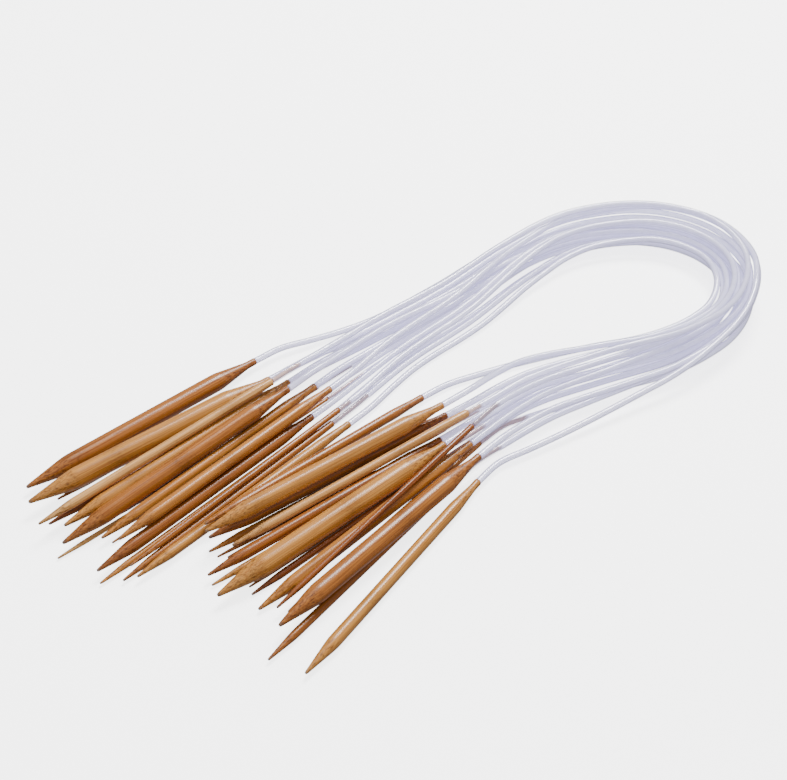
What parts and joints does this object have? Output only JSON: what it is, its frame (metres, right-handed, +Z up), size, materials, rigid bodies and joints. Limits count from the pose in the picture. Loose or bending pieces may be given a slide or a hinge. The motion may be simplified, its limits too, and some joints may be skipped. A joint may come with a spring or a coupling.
{
  "type": "circular knitting needle set",
  "caption": "Bundle of circular knitting needles, each two tapered bamboo points joined by a soft clear tube, laid down as a hairpin.",
  "frame": {"origin": "on the table, under the middle of the box around the wooden points", "axes": "+Z up from the table; +X from the points' tips towards the bend of the tubes; +Y towards the group of points named a"},
  "size_m": [0.382, 0.1752, 0.0242],
  "materials": {
    "wood_pale": "clear lacquered bamboo, pale tan",
    "wood_honey": "clear lacquered bamboo, honey",
    "wood_brown": "clear lacquered bamboo, carbonised brown",
    "wood_dark": "clear lacquered bamboo, dark brown",
    "clear_tube": "soft clear PVC tube with a faint lavender cast"
  },
  "bodies": {
    "tubes": {"tube_2mm": "clear_tube", "tube_2_25mm": "clear_tube", "tube_2_5mm": "clear_tube", "tube_2_75mm": "clear_tube", "tube_3mm": "clear_tube", "tube_3_25mm": "clear_tube", "tube_3_5mm": "clear_tube", "tube_3_75mm": "clear_tube", "tube_4mm": "clear_tube", "tube_4_5mm": "clear_tube", "tube_5mm": "clear_tube", "tube_5_5mm": "clear_tube", "tube_6mm": "clear_tube", "tube_6_5mm": "clear_tube", "tube_7mm": "clear_tube", "tube_8mm": "clear_tube", "tube_9mm": "clear_tube", "tube_10mm": "clear_tube"},
    "point_2mm_a": {"point_2mm_a": "wood_brown"},
    "point_2mm_b": {"point_2mm_b": "wood_brown"},
    "point_2_25mm_a": {"point_2_25mm_a": "wood_pale"},
    "point_2_25mm_b": {"point_2_25mm_b": "wood_brown"},
    "point_2_5mm_a": {"point_2_5mm_a": "wood_brown"},
    "point_2_5mm_b": {"point_2_5mm_b": "wood_brown"},
    "point_2_75mm_a": {"point_2_75mm_a": "wood_brown"},
    "point_2_75mm_b": {"point_2_75mm_b": "wood_brown"},
    "point_3mm_a": {"point_3mm_a": "wood_brown"},
    "point_3mm_b": {"point_3mm_b": "wood_dark"},
    "point_3_25mm_a": {"point_3_25mm_a": "wood_brown"},
    "point_3_25mm_b": {"point_3_25mm_b": "wood_honey"},
    "point_3_5mm_a": {"point_3_5mm_a": "wood_brown"},
    "point_3_5mm_b": {"point_3_5mm_b": "wood_dark"},
    "point_3_75mm_a": {"point_3_75mm_a": "wood_brown"},
    "point_3_75mm_b": {"point_3_75mm_b": "wood_brown"},
    "point_4mm_a": {"point_4mm_a": "wood_dark"},
    "point_4mm_b": {"point_4mm_b": "wood_brown"},
    "point_4_5mm_a": {"point_4_5mm_a": "wood_pale"},
    "point_4_5mm_b": {"point_4_5mm_b": "wood_pale"},
    "point_5mm_a": {"point_5mm_a": "wood_honey"},
    "point_5mm_b": {"point_5mm_b": "wood_brown"},
    "point_5_5mm_a": {"point_5_5mm_a": "wood_honey"},
    "point_5_5mm_b": {"point_5_5mm_b": "wood_brown"},
    "point_6mm_a": {"point_6mm_a": "wood_brown"},
    "point_6mm_b": {"point_6mm_b": "wood_honey"},
    "point_6_5mm_a": {"point_6_5mm_a": "wood_dark"},
    "point_6_5mm_b": {"point_6_5mm_b": "wood_brown"},
    "point_7mm_a": {"point_7mm_a": "wood_honey"},
    "point_7mm_b": {"point_7mm_b": "wood_dark"},
    "point_8mm_a": {"point_8mm_a": "wood_brown"},
    "point_8mm_b": {"point_8mm_b": "wood_honey"},
    "point_9mm_a": {"point_9mm_a": "wood_brown"},
    "point_9mm_b": {"point_9mm_b": "wood_brown"},
    "point_10mm_a": {"point_10mm_a": "wood_honey"},
    "point_10mm_b": {"point_10mm_b": "wood_honey"}
  },
  "joints": [
    {"name": "lift_3mm_a", "type": "hinge", "parent": "tubes", "child": "point_3mm_a", "pos_m": [0.06761, 0.01603, 0.00512], "axis": [-0.0349, 0.9994, 0], "range_deg": [0, 30], "deforming": ["tube_3mm"]},
    {"name": "lift_4_5mm_b", "type": "hinge", "parent": "tubes", "child": "point_4_5mm_b", "pos_m": [0.1043, -0.03654, 0.01349], "axis": [0.1736, 0.9848, 0], "range_deg": [0, 30], "deforming": ["tube_4_5mm"]},
    {"name": "swing_6mm_b", "type": "hinge", "parent": "tubes", "child": "point_6mm_b", "pos_m": [0.08275, -0.05999, 0.00286], "axis": [0, 0, 1], "range_deg": [0, 30], "deforming": ["tube_6mm"]},
    {"name": "lift_8mm_b", "type": "hinge", "parent": "tubes", "child": "point_8mm_b", "pos_m": [0.09723, -0.02686, 0.01636], "axis": [0.165, 0.9863, 0], "range_deg": [0, 30], "deforming": ["tube_8mm"]},
    {"name": "swing_9mm_a", "type": "hinge", "parent": "tubes", "child": "point_9mm_a", "pos_m": [0.06215, 0.0692, 0.00429], "axis": [0, 0, -1], "range_deg": [0, 30], "deforming": ["tube_9mm"]},
    {"name": "lift_10mm_a", "type": "hinge", "parent": "tubes", "child": "point_10mm_a", "pos_m": [0.05512, 0.04958, 0.00953], "axis": [0.1478, 0.989, 0], "range_deg": [0, 30], "deforming": ["tube_10mm"]},
    {"name": "twist_2mm_a", "type": "hinge", "parent": "tubes", "child": "point_2mm_a", "pos_m": [0.07167, 0.02759, 0.0014], "axis": [0.9998, -0.0175, 0.0034], "range_deg": [-90, 90]},
    {"name": "twist_2mm_b", "type": "hinge", "parent": "tubes", "child": "point_2mm_b", "pos_m": [0.09835, -0.04183, 0.0014], "axis": [0.9976, -0.0698, 0.0034], "range_deg": [-90, 90]},
    {"name": "twist_2_25mm_a", "type": "hinge", "parent": "tubes", "child": "point_2_25mm_a", "pos_m": [0.04883, 0.03017, 0.003], "axis": [0.9975, -0.0697, 0.0151], "range_deg": [-90, 90]},
    {"name": "twist_2_25mm_b", "type": "hinge", "parent": "tubes", "child": "point_2_25mm_b", "pos_m": [0.09775, -0.03286, 0.00139], "axis": [0.9863, -0.165, 0.0024], "range_deg": [-90, 90]},
    {"name": "twist_2_5mm_a", "type": "hinge", "parent": "tubes", "child": "point_2_5mm_a", "pos_m": [0.07135, 0.04617, 0.00165], "axis": [0.9976, -0.0698, 0.0035], "range_deg": [-90, 90]},
    {"name": "twist_2_5mm_b", "type": "hinge", "parent": "tubes", "child": "point_2_5mm_b", "pos_m": [0.10053, -0.03759, 0.00165], "axis": [0.9848, -0.1736, 0.0035], "range_deg": [-90, 90]},
    {"name": "twist_2_75mm_a", "type": "hinge", "parent": "tubes", "child": "point_2_75mm_a", "pos_m": [0.06915, 0.0557, 0.00164], "axis": [0.9962, -0.0872, 0.0025], "range_deg": [-90, 90]},
    {"name": "twist_2_75mm_b", "type": "hinge", "parent": "tubes", "child": "point_2_75mm_b", "pos_m": [0.10142, -0.04526, 0.00294], "axis": [0.9981, 0.061, 0.0129], "range_deg": [-90, 90]},
    {"name": "twist_3mm_b", "type": "hinge", "parent": "tubes", "child": "point_3mm_b", "pos_m": [0.09693, -0.04403, 0.01801], "axis": [0.9946, 0.0521, 0.0895], "range_deg": [-90, 90]},
    {"name": "twist_3_25mm_a", "type": "hinge", "parent": "tubes", "child": "point_3_25mm_a", "pos_m": [0.05367, 0.01755, 0.00161], "axis": [0.9998, 0.0175, 0.0005], "range_deg": [-90, 90]},
    {"name": "twist_3_25mm_b", "type": "hinge", "parent": "tubes", "child": "point_3_25mm_b", "pos_m": [0.08628, -0.03968, 0.0043], "axis": [0.99, -0.1391, 0.0218], "range_deg": [-90, 90]},
    {"name": "twist_3_5mm_a", "type": "hinge", "parent": "tubes", "child": "point_3_5mm_a", "pos_m": [0.07361, 0.03712, 0.00167], "axis": [0.9994, -0.0349, 0], "range_deg": [-90, 90]},
    {"name": "twist_3_5mm_b", "type": "hinge", "parent": "tubes", "child": "point_3_5mm_b", "pos_m": [0.09624, -0.04582, 0.00658], "axis": [0.9968, -0.0697, 0.039], "range_deg": [-90, 90]},
    {"name": "twist_3_75mm_a", "type": "hinge", "parent": "tubes", "child": "point_3_75mm_a", "pos_m": [0.06161, 0.01403, 0.00179], "axis": [0.9994, 0.0349, 0], "range_deg": [-90, 90]},
    {"name": "twist_3_75mm_b", "type": "hinge", "parent": "tubes", "child": "point_3_75mm_b", "pos_m": [0.09653, -0.02958, 0.00303], "axis": [0.9848, -0.1736, 0.0099], "range_deg": [-90, 90]},
    {"name": "twist_4mm_a", "type": "hinge", "parent": "tubes", "child": "point_4mm_a", "pos_m": [0.05635, 0.04617, 0.00509], "axis": [0.9976, -0.0698, 0.0035], "range_deg": [-90, 90]},
    {"name": "twist_4mm_b", "type": "hinge", "parent": "tubes", "child": "point_4mm_b", "pos_m": [0.07792, -0.05208, 0.00191], "axis": [0.9945, 0.1045, 0], "range_deg": [-90, 90]},
    {"name": "twist_4_5mm_a", "type": "hinge", "parent": "tubes", "child": "point_4_5mm_a", "pos_m": [0.05095, 0.04321, 0.01682], "axis": [0.9948, -0.087, 0.0531], "range_deg": [-90, 90]},
    {"name": "twist_5mm_a", "type": "hinge", "parent": "tubes", "child": "point_5mm_a", "pos_m": [0.06666, 0.00755, 0.00206], "axis": [0.9998, 0.0175, -0.011], "range_deg": [-90, 90]},
    {"name": "twist_5mm_b", "type": "hinge", "parent": "tubes", "child": "point_5mm_b", "pos_m": [0.1042, -0.00582, 0.00162], "axis": [0.9965, -0.0697, -0.0461], "range_deg": [-90, 90]},
    {"name": "twist_5_5mm_a", "type": "hinge", "parent": "tubes", "child": "point_5_5mm_a", "pos_m": [0.06863, 0.03307, 0.0086], "axis": [0.9995, 0, 0.0302], "range_deg": [-90, 90]},
    {"name": "twist_5_5mm_b", "type": "hinge", "parent": "tubes", "child": "point_5_5mm_b", "pos_m": [0.08747, -0.03496, 0.00617], "axis": [0.9914, -0.1305, 0.0134], "range_deg": [-90, 90]},
    {"name": "twist_6mm_a", "type": "hinge", "parent": "tubes", "child": "point_6mm_a", "pos_m": [0.07067, 0.02455, 0.01116], "axis": [0.9998, 0.0175, 0.0005], "range_deg": [-90, 90]},
    {"name": "twist_6_5mm_a", "type": "hinge", "parent": "tubes", "child": "point_6_5mm_a", "pos_m": [0.05567, 0.02155, 0.00509], "axis": [0.9998, 0.0175, 0.0005], "range_deg": [-90, 90]},
    {"name": "twist_6_5mm_b", "type": "hinge", "parent": "tubes", "child": "point_6_5mm_b", "pos_m": [0.09285, -0.04814, 0.01097], "axis": [0.9976, -0.0261, 0.0646], "range_deg": [-90, 90]},
    {"name": "twist_7mm_a", "type": "hinge", "parent": "tubes", "child": "point_7mm_a", "pos_m": [0.06042, 0.04215, 0.0103], "axis": [0.9981, -0.0523, 0.0322], "range_deg": [-90, 90]},
    {"name": "twist_7mm_b", "type": "hinge", "parent": "tubes", "child": "point_7mm_b", "pos_m": [0.0993, -0.0278, 0.00841], "axis": [0.9831, -0.1822, 0.0149], "range_deg": [-90, 90]},
    {"name": "twist_8mm_a", "type": "hinge", "parent": "tubes", "child": "point_8mm_a", "pos_m": [0.05357, 0.03466, 0.01632], "axis": [0.9956, -0.0522, 0.0772], "range_deg": [-90, 90]},
    {"name": "twist_9mm_b", "type": "hinge", "parent": "tubes", "child": "point_9mm_b", "pos_m": [0.09056, -0.05473, 0.00917], "axis": [0.999, 0.0436, 0.0054], "range_deg": [-90, 90]},
    {"name": "twist_10mm_b", "type": "hinge", "parent": "tubes", "child": "point_10mm_b", "pos_m": [0.08303, -0.04129, 0.01192], "axis": [0.9953, -0.0871, 0.0419], "range_deg": [-90, 90]}
  ]
}
